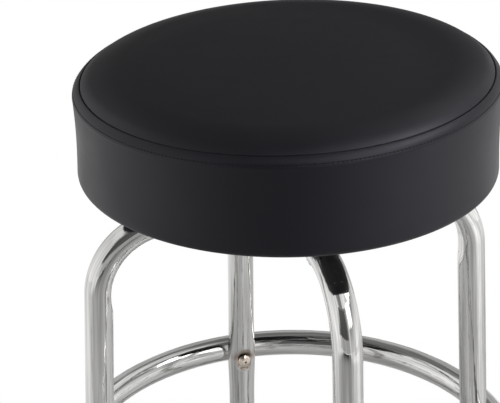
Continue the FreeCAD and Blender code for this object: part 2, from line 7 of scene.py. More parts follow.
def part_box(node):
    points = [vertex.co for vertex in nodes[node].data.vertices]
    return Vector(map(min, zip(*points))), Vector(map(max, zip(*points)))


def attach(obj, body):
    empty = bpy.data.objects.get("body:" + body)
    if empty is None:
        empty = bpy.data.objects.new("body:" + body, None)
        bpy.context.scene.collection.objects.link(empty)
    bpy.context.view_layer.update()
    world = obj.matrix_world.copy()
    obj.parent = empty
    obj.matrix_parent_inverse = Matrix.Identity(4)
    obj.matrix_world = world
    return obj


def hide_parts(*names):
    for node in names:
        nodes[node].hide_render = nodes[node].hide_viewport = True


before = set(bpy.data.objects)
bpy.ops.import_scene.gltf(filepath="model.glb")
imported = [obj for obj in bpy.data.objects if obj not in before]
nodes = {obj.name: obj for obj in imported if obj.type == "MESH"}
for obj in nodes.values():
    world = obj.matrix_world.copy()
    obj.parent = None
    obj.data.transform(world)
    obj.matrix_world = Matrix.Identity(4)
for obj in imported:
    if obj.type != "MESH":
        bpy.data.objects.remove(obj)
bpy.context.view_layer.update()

# Legs
# Each leg is one length of inch steel tube, bent through nearly a right angle, polished and chrome plated.
# The bender presses the inside of the bend flat. Where the foot ring is bolted on, the press squeezes the
# tube wide, with a saddle for the ring on the outside and an oval seat for the bolt head on the inside.
TUBE_RADIUS = 0.0127
TUBE_WALL = 0.0015
LEG_TOP_RUN = 0.0795
BEND_RADIUS = 0.064
BEND_CRUSH = 0.003
BEND_CREASES = (0.052, 0.088, 0.107)
CREASE_DEPTH = 0.0009
CREASE_WIDTH = 0.0026
LEG_SPLAY = math.radians(2.5)
JOINT_FLARE = 0.085
JOINT_FLARE_REACH = 0.024
RING_CLEARANCE = 0.0001
BOLT_SEAT_RADIUS = 0.029
BOLT_SEAT_DEPTH = 0.0028
PRESSED_EDGE = 0.0005
CRUSH_EDGE = 0.0007
# Level of the warm painted reflection of the bolt head inside its seat
SEAT_REFLECTION_LEVEL = 0.5
LEG_SIDES = 96
LEG_STEP = 0.0025
JOINT_REACH = 0.018
JOINT_STEP = 0.0008
# Radius and reach of the painted shade round the top of the bolt head
BOLT_SHADE_RADIUS = 0.007
BOLT_SHADE_REACH = 0.0042
MERGE_DISTANCE = 1e-5
CHROME = (0.73, 0.725, 0.71, 1)
CHROME_STREAK = (0.50, 0.495, 0.485, 1)
STREAK_COLOURS = {0.36: CHROME_STREAK, 0.6: CHROME}
# Tints multiplied into the chrome at the bolt's seat: none, a warm painted reflection of the bolt head, and
# dark painted shade above the head
SEAT_PAINTED_TINTS = {0: (1, 1, 1, 1), SEAT_REFLECTION_LEVEL: (0.72, 0.62, 0.55, 1), 1: (0.03, 0.02, 0.017, 1)}
LEG_TURNS = {"right": 0.0, "back": 90.0, "left": 180.0, "front": 270.0}

leg_low, leg_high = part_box("leg_right")
ring_low, ring_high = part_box("foot_ring")
leg_axis_height = leg_high.z - TUBE_RADIUS
bend_centre = Vector((leg_low.x + LEG_TOP_RUN, 0, leg_axis_height - BEND_RADIUS))
bend_end = bend_centre + BEND_RADIUS * Vector((math.cos(LEG_SPLAY), 0, math.sin(LEG_SPLAY)))
leg_down = Vector((math.sin(LEG_SPLAY), 0, -math.cos(LEG_SPLAY)))
leg_foot_height = leg_low.z + TUBE_RADIUS * math.sin(LEG_SPLAY)
ring_height = (ring_low.z + ring_high.z) / 2
ring_tube_radius = (ring_high.z - ring_low.z) / 2
ring_radius = ring_high.x - ring_tube_radius
leg_radius_at_ring = bend_end.x + (bend_end.z - ring_height) * math.tan(LEG_SPLAY)
bolt_seat_floor = leg_radius_at_ring - TUBE_RADIUS + BOLT_SEAT_DEPTH


def only(piece):
    """Leaves piece as the one selected and active object."""
    bpy.ops.object.select_all(action="DESELECT")
    piece.select_set(True)
    bpy.context.view_layer.objects.active = piece


def extrude(step):
    """Extrudes what is selected in edit mode by one step."""
    bpy.ops.mesh.extrude_region_move(TRANSFORM_OT_translate={"value": step})


def close_mesh():
    """In edit mode, merges doubled points and turns all faces outwards."""
    bpy.ops.mesh.select_all(action="SELECT")
    bpy.ops.mesh.remove_doubles(threshold=MERGE_DISTANCE)
    bpy.ops.mesh.normals_make_consistent(inside=False)
    bpy.ops.object.mode_set(mode="OBJECT")


def finish_modifier(piece, kind, **settings):
    """Adds a modifier with these settings and applies it."""
    only(piece)
    modifier = piece.modifiers.new(kind.lower(), kind)
    for key, value in settings.items():
        setattr(modifier, key, value)
    bpy.ops.object.modifier_apply(modifier=modifier.name)


def soft_max(a, b, blend):
    """The larger of two values, with their corner rounded over blend."""
    near = max(blend - abs(a - b), 0) / blend
    return max(a, b) + near * near * blend / 4


def tube_place(point):
    """Where a point lies on the tube: the direction round it as two values, and the length along it."""
    spoke = Vector((point.x - bend_centre.x, 0, point.z - bend_centre.z))
    if spoke.x < 0:
        out, along = point.z - leg_axis_height, spoke.x
    elif spoke.z > spoke.x * math.tan(LEG_SPLAY):
        out, along = spoke.length - BEND_RADIUS, BEND_RADIUS * math.atan2(spoke.x, spoke.z)
    else:
        down = (point - bend_end).dot(leg_down)
        out = (point - bend_end - down * leg_down).dot(Vector((-leg_down.z, 0, leg_down.x)))
        along = BEND_RADIUS * (math.pi / 2 - LEG_SPLAY) + down
    return Vector((out / TUBE_RADIUS, point.y / TUBE_RADIUS, along))


def press_bend(point):
    """Presses the inside of the bend flat, with the cross creases that the bender leaves in it."""
    spoke = Vector((point.x - bend_centre.x, 0, point.z - bend_centre.z))
    crush = BEND_RADIUS - TUBE_RADIUS + BEND_CRUSH
    reach = spoke.length
    if reach > crush + CRUSH_EDGE or spoke.x < -TUBE_RADIUS:
        return point
    along = tube_place(point).z
    creases = sum(math.exp(-(((along - place) / CREASE_WIDTH) ** 2)) for place in BEND_CREASES)
    depth = max(crush - reach, 0) / BEND_CRUSH
    spoke *= (soft_max(reach, crush, CRUSH_EDGE) + CREASE_DEPTH * depth * creases) / reach
    return Vector((bend_centre.x + spoke.x, point.y, bend_centre.z + spoke.z))


def press_joint(point):
    """Widens the tube at the foot ring, and presses the ring's saddle and the bolt's seat into it."""
    lift = point.z - ring_height
    if point.z > bend_end.z:
        return point
    across = point.y * (1 + JOINT_FLARE * math.exp(-((lift / JOINT_FLARE_REACH) ** 2)))
    along = point.x
    axis = leg_radius_at_ring - lift * math.tan(LEG_SPLAY)
    saddle = ring_tube_radius + RING_CLEARANCE
    if along < axis and abs(lift) < BOLT_SEAT_RADIUS:
        seat = bolt_seat_floor - BOLT_SEAT_RADIUS + math.sqrt(BOLT_SEAT_RADIUS ** 2 - lift ** 2)
        along = soft_max(along, seat, PRESSED_EDGE)
    elif along > axis and abs(lift) < saddle:
        inner = ring_radius - math.sqrt(saddle ** 2 - lift ** 2)
        along = -soft_max(-along, -math.sqrt(inner ** 2 - across ** 2), PRESSED_EDGE)
    return Vector((along, across, point.z))


def seat_painted_light(point, pressed):
    """Painted light on the bolt's seat: a warm painted reflection of the bolt head inside the seat, and dark
    painted shade round the top of the bolt head.
    """
    lift = point.z - ring_height
    around = math.hypot(lift, point.y)
    if around > BOLT_SEAT_RADIUS or point.x > leg_radius_at_ring:
        return 0.0
    in_seat = min(max(pressed.x - point.x, 0) / PRESSED_EDGE, 1)
    shade_ring = math.exp(-(((around - BOLT_SHADE_RADIUS) / BOLT_SHADE_REACH) ** 2))
    return max(SEAT_REFLECTION_LEVEL * in_seat, shade_ring * math.sqrt(max(lift / around, 0)))


def bent_tube():
    """The tube of the leg on +X, pressed to its final shape."""
    bpy.ops.object.select_all(action="DESELECT")
    bpy.ops.mesh.primitive_circle_add(
        vertices=LEG_SIDES, radius=TUBE_RADIUS,
        location=(leg_low.x, 0, leg_axis_height), rotation=(0, math.pi / 2, 0))
    tube = bpy.context.object
    bpy.ops.object.transform_apply()
    bpy.ops.object.mode_set(mode="EDIT")
    bpy.ops.mesh.select_all(action="SELECT")
    top_steps = round(LEG_TOP_RUN / LEG_STEP)
    for _ in range(top_steps):
        extrude((LEG_TOP_RUN / top_steps, 0, 0))
    turn = math.pi / 2 - LEG_SPLAY
    bend_steps = round(turn * BEND_RADIUS / LEG_STEP)
    bpy.ops.mesh.spin(steps=bend_steps, angle=-turn, center=bend_centre, axis=(0, 1, 0))
    down_run = (bend_end.z - leg_foot_height) / math.cos(LEG_SPLAY)
    joint_run = (bend_end.z - ring_height) / math.cos(LEG_SPLAY)
    to_joint = joint_run - JOINT_REACH
    past_joint = down_run - joint_run - JOINT_REACH
    for run, step in ((to_joint, LEG_STEP), (2 * JOINT_REACH, JOINT_STEP), (past_joint, LEG_STEP)):
        steps = round(run / step)
        for _ in range(steps):
            extrude(leg_down * (run / steps))
    close_mesh()
    # A mask of painted light for the bolt's seat: warm painted reflection inside it, painted shade above the
    # head
    tube.data.attributes.new("tube_place", "FLOAT_VECTOR", "POINT")
    tube.data.attributes.new("seat_painted_mask", "FLOAT", "POINT")
    places = tube.data.attributes["tube_place"].data
    seat_painted_masks = tube.data.attributes["seat_painted_mask"].data
    for vertex in tube.data.vertices:
        pressed = press_joint(press_bend(vertex.co))
        places[vertex.index].vector = tube_place(vertex.co)
        seat_painted_masks[vertex.index].value = seat_painted_light(vertex.co, pressed)
        vertex.co = pressed
    bpy.ops.object.shade_smooth()
    return tube


def new_material(name, **values):
    """A node material; gives the material, its node tree and its shader with these values set on it."""
    material = bpy.data.materials.new(name)
    material.use_nodes = True
    shader = material.node_tree.nodes["Principled BSDF"]
    for key, value in values.items():
        shader.inputs[key.replace("_", " ")].default_value = value
    return material, material.node_tree, shader


def add_node(tree, kind, values=None, **settings):
    """A new node of a tree with its settings and its input values."""
    node = tree.nodes.new("ShaderNode" + kind)
    for key, value in settings.items():
        setattr(node, key, value)
    for key, value in (values or {}).items():
        node.inputs[key].default_value = value
    return node


def new_group(name, inputs, outputs):
    """A shader node group with named sockets; gives the group and its input and output nodes."""
    group = bpy.data.node_groups.new(name, "ShaderNodeTree")
    for label, value in inputs.items():
        kind = "NodeSocketVector" if value is None else "NodeSocketFloat"
        socket = group.interface.new_socket(label, in_out="INPUT", socket_type=kind)
        if value is not None:
            socket.default_value = value
    for label in outputs:
        group.interface.new_socket(label, in_out="OUTPUT", socket_type="NodeSocketFloat")
    return group, group.nodes.new("NodeGroupInput"), group.nodes.new("NodeGroupOutput")


def use_group(tree, group, vector, **values):
    """Places a node group in a material, fed with a vector and its own values."""
    node = tree.nodes.new("ShaderNodeGroup")
    node.node_tree = group
    tree.links.new(vector, node.inputs["Vector"])
    for key, value in values.items():
        node.inputs[key].default_value = value
    return node


def object_coordinates(tree):
    """The Object output of a Texture Coordinate node."""
    return add_node(tree, "TexCoord").outputs["Object"]


def add_bump(tree, shader, height, strength, distance):
    """Feeds a height through a Bump node into a shader's normal."""
    bump = add_node(tree, "Bump", {"Strength": strength, "Distance": distance})
    tree.links.new(height, bump.inputs["Height"])
    tree.links.new(bump.outputs["Normal"], shader.inputs["Normal"])


def colour_ramp(tree, factor, stops):
    """A colour ramp fed with a factor; stops gives the colour at each position."""
    ramp = add_node(tree, "ValToRGB")
    for position in list(stops)[1:-1]:
        ramp.color_ramp.elements.new(position)
    for element, (position, colour) in zip(ramp.color_ramp.elements, stops.items()):
        element.position = position
        element.color = colour
    tree.links.new(factor, ramp.inputs["Fac"])
    return ramp.outputs["Color"]


# Haze of handling: broad cloudy patches of rougher surface
haze, haze_in, haze_out = new_group(
    "handling_haze", {"Vector": None, "Scale": 30.0, "Clean": 0.05, "Hazy": 0.1}, ["Roughness"])
haze_noise = add_node(haze, "TexNoise", {"Detail": 4.0, "Roughness": 0.6})
haze_range = add_node(haze, "MapRange", {"From Min": 0.35, "From Max": 0.7})
haze.links.new(haze_in.outputs["Vector"], haze_noise.inputs["Vector"])
haze.links.new(haze_in.outputs["Scale"], haze_noise.inputs["Scale"])
haze.links.new(haze_noise.outputs["Fac"], haze_range.inputs["Value"])
haze.links.new(haze_in.outputs["Clean"], haze_range.inputs["To Min"])
haze.links.new(haze_in.outputs["Hazy"], haze_range.inputs["To Max"])
haze.links.new(haze_range.outputs["Result"], haze_out.inputs["Roughness"])


# Polish lines: fine streaks along a tube, from the belts that polished it before plating
lines, lines_in, lines_out = new_group("polish_lines", {"Vector": None, "Fineness": 5.0}, ["Height"])
lines_stretch = add_node(lines, "Mapping", {"Scale": (1.0, 1.0, 1.6)})
lines_noise = add_node(lines, "TexNoise", {"Detail": 3.0, "Roughness": 0.65})
lines.links.new(lines_in.outputs["Vector"], lines_stretch.inputs["Vector"])
lines.links.new(lines_stretch.outputs["Vector"], lines_noise.inputs["Vector"])
lines.links.new(lines_in.outputs["Fineness"], lines_noise.inputs["Scale"])
lines.links.new(lines_noise.outputs["Fac"], lines_out.inputs["Height"])


def hazed_material(name, scale, clean, hazy, **values):
    """A node material whose roughness goes from clean to hazy with the haze of handling."""
    material, tree, shader = new_material(name, **values)
    marks = use_group(tree, haze, object_coordinates(tree), Scale=scale, Clean=clean, Hazy=hazy)
    tree.links.new(marks.outputs["Roughness"], shader.inputs["Roughness"])
    return material, tree, shader


def chrome_finish(name):
    """Bright chrome plate with a faint haze."""
    return hazed_material(name, scale=45.0, clean=0.03, hazy=0.08, Metallic=1.0)


def add_polish(tree, shader, place):
    """Polish lines along a tube, as a fine relief and as duller streaks; gives their colour."""
    streaks = use_group(tree, lines, place, Fineness=4.0)
    add_bump(tree, shader, streaks.outputs["Height"], strength=0.4, distance=0.0006)
    colour = colour_ramp(tree, streaks.outputs["Height"], STREAK_COLOURS)
    tree.links.new(colour, shader.inputs["Base Color"])
    return colour


leg_chrome, leg_tree, leg_shader = chrome_finish("leg_chrome")
leg_place = add_node(leg_tree, "Attribute", attribute_name="tube_place")
leg_colour = add_polish(leg_tree, leg_shader, leg_place.outputs["Vector"])
# The chrome is tinted at the bolt's seat with a painted reflection of the bolt head and painted shade above
# it
leg_seat_painted_mask = add_node(leg_tree, "Attribute", attribute_name="seat_painted_mask")
leg_tint = colour_ramp(leg_tree, leg_seat_painted_mask.outputs["Fac"], SEAT_PAINTED_TINTS)
leg_tinted = add_node(leg_tree, "Mix", {"Factor": 1.0}, data_type="RGBA", blend_type="MULTIPLY")
leg_tree.links.new(leg_colour, leg_tinted.inputs["A"])
leg_tree.links.new(leg_tint, leg_tinted.inputs["B"])
leg_tree.links.new(leg_tinted.outputs["Result"], leg_shader.inputs["Base Color"])
pressed_tube = bent_tube()
finish_modifier(pressed_tube, "SOLIDIFY", thickness=TUBE_WALL, offset=-1)
for place, turn in LEG_TURNS.items():
    leg = pressed_tube.copy()
    leg.data = pressed_tube.data.copy()
    leg.name = leg.data.name = "leg_tube_" + place
    bpy.context.collection.objects.link(leg)
    leg.data.transform(Matrix.Rotation(math.radians(turn), 4, "Z"))
    leg.data.materials.append(leg_chrome)
    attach(leg, "frame")
    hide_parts("leg_" + place)
bpy.data.objects.remove(pressed_tube)

# End plugs and foot glides
# Black plastic mouldings with a lightly eroded surface: a plug closes the inner end of each leg, and a
# ribbed glide is pushed into its lower end and carries the stool on the floor.
PLASTIC_BLACK = (0.018, 0.018, 0.019, 1)


def dress(material, *names):
    """Gives CAD nodes this material."""
    for name in names:
        nodes[name].data.materials.clear()
        nodes[name].data.materials.append(material)


# Pebbled grain of a mould or an embossing roll: small rounded cells
grain, grain_in, grain_out = new_group("pebble_grain", {"Vector": None, "Scale": 900.0}, ["Height"])
grain_cells = add_node(grain, "TexVoronoi", {"Randomness": 1.0}, feature="SMOOTH_F1")
grain_noise = add_node(grain, "TexNoise", {"Detail": 3.0})
grain_sum = add_node(grain, "Math", operation="ADD")
for texture in (grain_cells, grain_noise):
    grain.links.new(grain_in.outputs["Vector"], texture.inputs["Vector"])
    grain.links.new(grain_in.outputs["Scale"], texture.inputs["Scale"])
grain.links.new(grain_cells.outputs["Distance"], grain_sum.inputs[0])
grain.links.new(grain_noise.outputs["Fac"], grain_sum.inputs[1])
grain.links.new(grain_sum.outputs["Value"], grain_out.inputs["Height"])

plastic, plastic_tree, plastic_shader = hazed_material(
    "moulded_plastic", scale=120.0, clean=0.42, hazy=0.58, Base_Color=PLASTIC_BLACK)
plastic_grain = use_group(plastic_tree, grain, object_coordinates(plastic_tree), Scale=1500.0)
add_bump(plastic_tree, plastic_shader, plastic_grain.outputs["Height"], strength=0.15, distance=0.0001)
dress(plastic, *["end_plug_" + place for place in LEG_TURNS], *["foot_glide_" + place for place in LEG_TURNS])

# Foot ring
# A length of the same tube, rolled to a ring, welded shut and plated like the legs.
# It lies in the saddles on the outside of the legs.
RING_LINE_LENGTH = 0.3
ring_chrome, ring_tree, ring_shader = chrome_finish("ring_chrome")
ring_place = add_node(ring_tree, "SeparateXYZ")
ring_flat = add_node(ring_tree, "VectorMath", {1: (1, 1, 0)}, operation="MULTIPLY")
ring_reach = add_node(ring_tree, "VectorMath", operation="LENGTH")
to_tube = 1 / ring_tube_radius
ring_out = add_node(ring_tree, "Math", {1: to_tube, 2: -ring_radius * to_tube}, operation="MULTIPLY_ADD")
ring_up = add_node(ring_tree, "Math", {1: to_tube, 2: -ring_height * to_tube}, operation="MULTIPLY_ADD")
ring_turn = add_node(ring_tree, "Math", operation="ARCTAN2")
ring_along = add_node(ring_tree, "Math", {1: RING_LINE_LENGTH}, operation="MULTIPLY")
ring_round = add_node(ring_tree, "CombineXYZ")
ring_object = object_coordinates(ring_tree)
ring_tree.links.new(ring_object, ring_place.inputs["Vector"])
ring_tree.links.new(ring_object, ring_flat.inputs[0])
ring_tree.links.new(ring_flat.outputs["Vector"], ring_reach.inputs[0])
ring_tree.links.new(ring_reach.outputs["Value"], ring_out.inputs[0])
ring_tree.links.new(ring_place.outputs["Z"], ring_up.inputs[0])
ring_tree.links.new(ring_place.outputs["Y"], ring_turn.inputs[0])
ring_tree.links.new(ring_place.outputs["X"], ring_turn.inputs[1])
ring_tree.links.new(ring_turn.outputs["Value"], ring_along.inputs[0])
ring_tree.links.new(ring_out.outputs["Value"], ring_round.inputs["X"])
ring_tree.links.new(ring_up.outputs["Value"], ring_round.inputs["Y"])
ring_tree.links.new(ring_along.outputs["Value"], ring_round.inputs["Z"])
add_polish(ring_tree, ring_shader, ring_round.outputs["Vector"])
dress(ring_chrome, "foot_ring")

# Ring bolts and inserts
# Domed socket bolts go from the inside of each leg into a threaded insert in the ring.
# Both are steel with a warm nickel plate.
NICKEL = (0.82, 0.73, 0.64, 1)
nickel = hazed_material(
    "nickel_plate", scale=300.0, clean=0.08, hazy=0.18, Base_Color=NICKEL, Metallic=1.0)[0]
dress(nickel, "ring_bolts", "ring_insert_nuts")

# Swivel
# Two pressed steel plates in black enamel with a ball race between them, held by a tubular rivet.
# Zinc plated bolts, washers and nuts fix the lower plate to the legs and the upper plate to the board.
ENAMEL_BLACK = (0.014, 0.014, 0.015, 1)
ZINC = (0.56, 0.58, 0.60, 1)
enamel, enamel_tree, enamel_shader = hazed_material(
    "black_enamel", scale=60.0, clean=0.28, hazy=0.45, Base_Color=ENAMEL_BLACK)
enamel_peel = use_group(enamel_tree, grain, object_coordinates(enamel_tree), Scale=420.0)
add_bump(enamel_tree, enamel_shader, enamel_peel.outputs["Height"], strength=0.12, distance=0.0002)
dress(enamel, "swivel_upper_plate", "swivel_lower_plate")

zinc = hazed_material("zinc_plate", scale=260.0, clean=0.26, hazy=0.48, Base_Color=ZINC, Metallic=1.0)[0]
dress(zinc, "centre_rivet", "thrust_washer", "leg_bolts", "saddle_washers", "leg_nuts")
dress(zinc, "seat_bolts", "seat_lock_washers", "tee_nuts")

# Balls and cage
# Hardened steel balls run between the plates, spaced by a flat nylon cage.
BALL_STEEL = (0.58, 0.59, 0.60, 1)
NYLON = (0.74, 0.72, 0.66, 1)
ball_steel = hazed_material(
    "ball_steel", scale=400.0, clean=0.06, hazy=0.16, Base_Color=BALL_STEEL, Metallic=1.0)[0]
dress(ball_steel, "bearing_balls")

nylon = hazed_material(
    "nylon", scale=150.0, clean=0.38, hazy=0.55, Base_Color=NYLON, Subsurface_Weight=0.1)[0]
dress(nylon, "ball_cage")

# Seat board
# A disc of plywood that the cover is pulled over and stapled to.
PLY_LIGHT = (0.55, 0.38, 0.22, 1)
PLY_DARK = (0.36, 0.22, 0.12, 1)
PLY_LAYER = 0.0024
WAVE_UNIT = 20
ply, ply_tree, ply_shader = new_material("plywood", Roughness=0.7)
ply_place = object_coordinates(ply_tree)
ply_stretch = add_node(ply_tree, "Mapping", {"Scale": (1.0, 14.0, 1.0)})
ply_grain = add_node(ply_tree, "TexNoise", {"Scale": 18.0, "Detail": 8.0, "Distortion": 0.6})
ply_layers = add_node(
    ply_tree, "TexWave", {"Scale": 1 / PLY_LAYER / WAVE_UNIT, "Distortion": 0.3}, bands_direction="Z")
ply_sum = add_node(ply_tree, "Math", operation="MULTIPLY")
ply_tree.links.new(ply_place, ply_stretch.inputs["Vector"])
ply_tree.links.new(ply_stretch.outputs["Vector"], ply_grain.inputs["Vector"])
ply_tree.links.new(ply_place, ply_layers.inputs["Vector"])
ply_tree.links.new(ply_grain.outputs["Fac"], ply_sum.inputs[0])
ply_tree.links.new(ply_layers.outputs["Fac"], ply_sum.inputs[1])
ply_colour = colour_ramp(ply_tree, ply_sum.outputs["Value"], {0: PLY_DARK, 1: PLY_LIGHT})
ply_tree.links.new(ply_colour, ply_shader.inputs["Base Color"])
add_bump(ply_tree, ply_shader, ply_grain.outputs["Fac"], strength=0.2, distance=0.0003)
dress(ply, "seat_board")

# Foam cushion
# A thick round block of upholstery foam on the board. The cover is pulled down over it, so the foam
# swells between the sewn seam and the board: a cloth simulation with pressure gives that swell.
SEAM_INSET = 0.0068
SHOULDER_RADIUS = 0.075
SHOULDER_SLOPE = math.radians(22)
EDGE_RADIUS = 0.024
EDGE_SLOPE = math.radians(48)
LOOSE_CROWN_RADIUS = 9.0
LIP_RADIUS = 0.012
SIDE_DRAW_IN = 0.0008
LOOSE_SIDE_INSET = 0.001
FOLD_RADIUS = 0.005
VINYL_THICKNESS = 0.0012
FOAM_CLEARANCE = 0.0003
FOAM_VOXEL = 0.005
FOAM_PRESSURE = 4.0
FOAM_SWELL = 0.002
SWELL_FRAMES = 20
TENSION_STEPS = 60
SEAM_HOLD = 0.008
CREASE_ANGLE = math.radians(50)
FOAM_YELLOW = (0.72, 0.62, 0.40, 1)

band_low, band_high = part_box("seat_side_band")
board_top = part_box("seat_board")[1].z
seat_radius = band_high.x
seat_bottom = band_low.z
seam_radius = seat_radius - SEAM_INSET
seam_height = band_high.z
edge_centre = Vector((
    seam_radius - EDGE_RADIUS * math.sin(EDGE_SLOPE), seam_height - EDGE_RADIUS * math.cos(EDGE_SLOPE)))
shoulder_centre = edge_centre - (SHOULDER_RADIUS - EDGE_RADIUS) * Vector((
    math.sin(SHOULDER_SLOPE), math.cos(SHOULDER_SLOPE)))
lip_slope = math.asin(1 - SEAM_INSET / LIP_RADIUS)
lip_centre = Vector((seat_radius - LIP_RADIUS, seam_height - LIP_RADIUS * math.cos(lip_slope)))
fold_centre = Vector((seat_radius - SIDE_DRAW_IN - FOLD_RADIUS, seat_bottom + FOLD_RADIUS))


def arc(centre, radius, start, end, steps):
    """Points of an arc; angles are measured from straight up, positive outwards."""
    turns = [start + (end - start) * i / steps for i in range(steps + 1)]
    return [Vector((centre.x + radius * math.sin(t), centre.y + radius * math.cos(t))) for t in turns]


def crown(depth, crown_steps, shoulder_steps, end_slope=EDGE_SLOPE):
    """The top from its middle to the seam before it swells: a flat crown that rolls over at the shoulder."""
    to_shoulder = LOOSE_CROWN_RADIUS - SHOULDER_RADIUS
    crown_slope = math.asin(shoulder_centre.x / to_shoulder)
    crown_centre = Vector((0, shoulder_centre.y - to_shoulder * math.cos(crown_slope)))
    middle = arc(crown_centre, LOOSE_CROWN_RADIUS - depth, 0, crown_slope, crown_steps)
    shoulder = arc(shoulder_centre, SHOULDER_RADIUS - depth, crown_slope, SHOULDER_SLOPE, shoulder_steps)
    edge = arc(edge_centre, EDGE_RADIUS - depth, SHOULDER_SLOPE, end_slope, shoulder_steps)
    return middle + shoulder[1:] + edge[1:]


def flat_side(depth, top, steps):
    """The flat side from the lip down to the fold, drawn in at mid height before it swells."""
    upper = Vector((seat_radius - depth, top))
    lower = Vector((seat_radius - SIDE_DRAW_IN - depth, fold_centre.y))
    line = []
    for i in range(1, steps):
        share = i / steps
        inset = LOOSE_SIDE_INSET * math.sin(math.pi * share)
        line.append(upper.lerp(lower, share) - Vector((inset, 0)))
    return line


def lathe(name, outline, steps):
    """Draws an outline of (radius, height) points and spins it about the stool's axis."""
    bpy.ops.object.select_all(action="DESELECT")
    bpy.ops.mesh.primitive_plane_add(size=TUBE_WALL, location=(outline[0].x, 0, outline[0].y))
    piece = bpy.context.object
    piece.name = piece.data.name = name
    bpy.ops.object.transform_apply()
    bpy.ops.object.mode_set(mode="EDIT")
    bpy.ops.mesh.select_all(action="SELECT")
    bpy.ops.mesh.merge(type="CENTER")
    for start, end in zip(outline, outline[1:]):
        extrude((end.x - start.x, 0, end.y - start.y))
    bpy.ops.mesh.select_all(action="SELECT")
    bpy.ops.mesh.spin(steps=steps, angle=2 * math.pi, center=(0, 0, 0), axis=(0, 0, 1))
    close_mesh()
    bpy.ops.object.shade_smooth_by_angle(angle=CREASE_ANGLE)
    return piece


def place_points(piece, points):
    """Puts a mesh's points at these places."""
    for vertex, point in zip(piece.data.vertices, points):
        vertex.co = point
    piece.data.update()


def swell(form):
    """Swells a form under pressure, held at the seam and on the board; gives its points before and after."""
    before = [vertex.co.copy() for vertex in form.data.vertices]
    held = form.vertex_groups.new(name="held")
    for vertex in form.data.vertices:
        reach = Vector((math.hypot(vertex.co.x, vertex.co.y), vertex.co.z))
        at_seam = (reach - Vector((seam_radius, seam_height))).length
        if at_seam < SEAM_HOLD or reach.y < board_top + FOAM_VOXEL:
            held.add([vertex.index], 1.0, "REPLACE")
    only(form)
    cloth = form.modifiers.new("stuffing", "CLOTH")
    cloth.settings.vertex_group_mass = "held"
    cloth.settings.use_pressure = True
    cloth.settings.uniform_pressure_force = FOAM_PRESSURE
    cloth.settings.effector_weights.gravity = 0
    for step in range(1, SWELL_FRAMES + 1):
        bpy.context.scene.frame_set(step)
    bpy.ops.object.modifier_apply(modifier="stuffing")
    bpy.context.scene.frame_set(1)
    moves = [vertex.co - start for vertex, start in zip(form.data.vertices, before)]
    scale = FOAM_SWELL / max(move.length for move in moves)
    place_points(form, before)
    even = form.modifiers.new("even_tension", "CORRECTIVE_SMOOTH")
    even.rest_source = "BIND"
    even.iterations = TENSION_STEPS
    bpy.ops.object.correctivesmooth_bind(modifier="even_tension")
    place_points(form, [start + scale * move for start, move in zip(before, moves)])
    bpy.ops.object.modifier_apply(modifier="even_tension")
    return before, [vertex.co.copy() for vertex in form.data.vertices]


foam_depth = VINYL_THICKNESS + FOAM_CLEARANCE
foam_outline = crown(foam_depth, crown_steps=12, shoulder_steps=6)
foam_outline += arc(lip_centre, LIP_RADIUS - foam_depth, lip_slope, math.pi / 2, steps=5)
foam_outline += flat_side(foam_depth, lip_centre.y, steps=6)
foam_outline += [Vector((seat_radius - SIDE_DRAW_IN - foam_depth, board_top)), Vector((0, board_top))]
foam = lathe("seat_foam", foam_outline, steps=96)
only(foam)
foam.data.remesh_voxel_size = FOAM_VOXEL
bpy.ops.object.voxel_remesh()
finish_modifier(foam, "TRIANGULATE")
foam_loose = [vertex.co.copy() for vertex in foam.data.vertices]
foam_full = foam_loose
foam_loose, foam_full = swell(foam)
place_points(foam, foam_full)
only(foam)
bpy.ops.object.shade_smooth()
foam_material, foam_tree, foam_shader = new_material(
    "upholstery_foam", Base_Color=FOAM_YELLOW, Roughness=0.95)
foam_cells = use_group(foam_tree, grain, object_coordinates(foam_tree), Scale=700.0)
add_bump(foam_tree, foam_shader, foam_cells.outputs["Height"], strength=0.6, distance=0.0006)
foam.data.materials.append(foam_material)
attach(foam, "seat")
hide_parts("foam_cushion")

# Top panel
# A disc of black vinyl, sewn face to face to the side band, so its edge turns down into the seam.
# The foam under it swells it to a gentle crown that rolls over just inside the seam.
SEAM_GAP = 0.0007
SEAM_CLOSED = 0.0001
SEAM_TURN = 0.0005
SEAM_DEPTH = 0.0008
PANEL_STEPS = 320
SEAM_SKEW = 0.0043
SEAM_SKEW_FACING = math.radians(-14.5)
SKEW_INSIDE = 0.11
SKEW_BELOW = 0.045
VINYL_BLACK = (0.0009, 0.0008, 0.0016, 1)
VINYL_WORN = (0.0014, 0.0012, 0.0022, 1)
VINYL_GLOSS = (0.90, 0.87, 1.0, 1)
VINYL_IOR = 1.42


def stretch_over_foam(piece):
    """Makes a piece that was cut for the loose foam follow the foam as it swells."""
    place_points(foam, foam_loose)
    only(piece)
    cover = piece.modifiers.new("over_foam", "SURFACE_DEFORM")
    cover.target = foam
    bpy.ops.object.surfacedeform_bind(modifier="over_foam")
    place_points(foam, foam_full)
    bpy.context.view_layer.update()
    bpy.ops.object.modifier_apply(modifier="over_foam")


def ease(value):
    """Goes smoothly from 0 to 1 as value does."""
    value = min(max(value, 0), 1)
    return value * value * (3 - 2 * value)


def skew_seam(piece):
    """Lifts the seam on one side and lowers it on the other, as the cover was pulled on a little askew."""
    for vertex in piece.data.vertices:
        reach = math.hypot(vertex.co.x, vertex.co.y)
        inside = ease((reach - SKEW_INSIDE) / (seam_radius - SKEW_INSIDE))
        below = ease((vertex.co.z - seam_height) / SKEW_BELOW + 1)
        facing = math.cos(math.atan2(vertex.co.y, vertex.co.x) - SEAM_SKEW_FACING)
        vertex.co.z += SEAM_SKEW * inside * below * facing


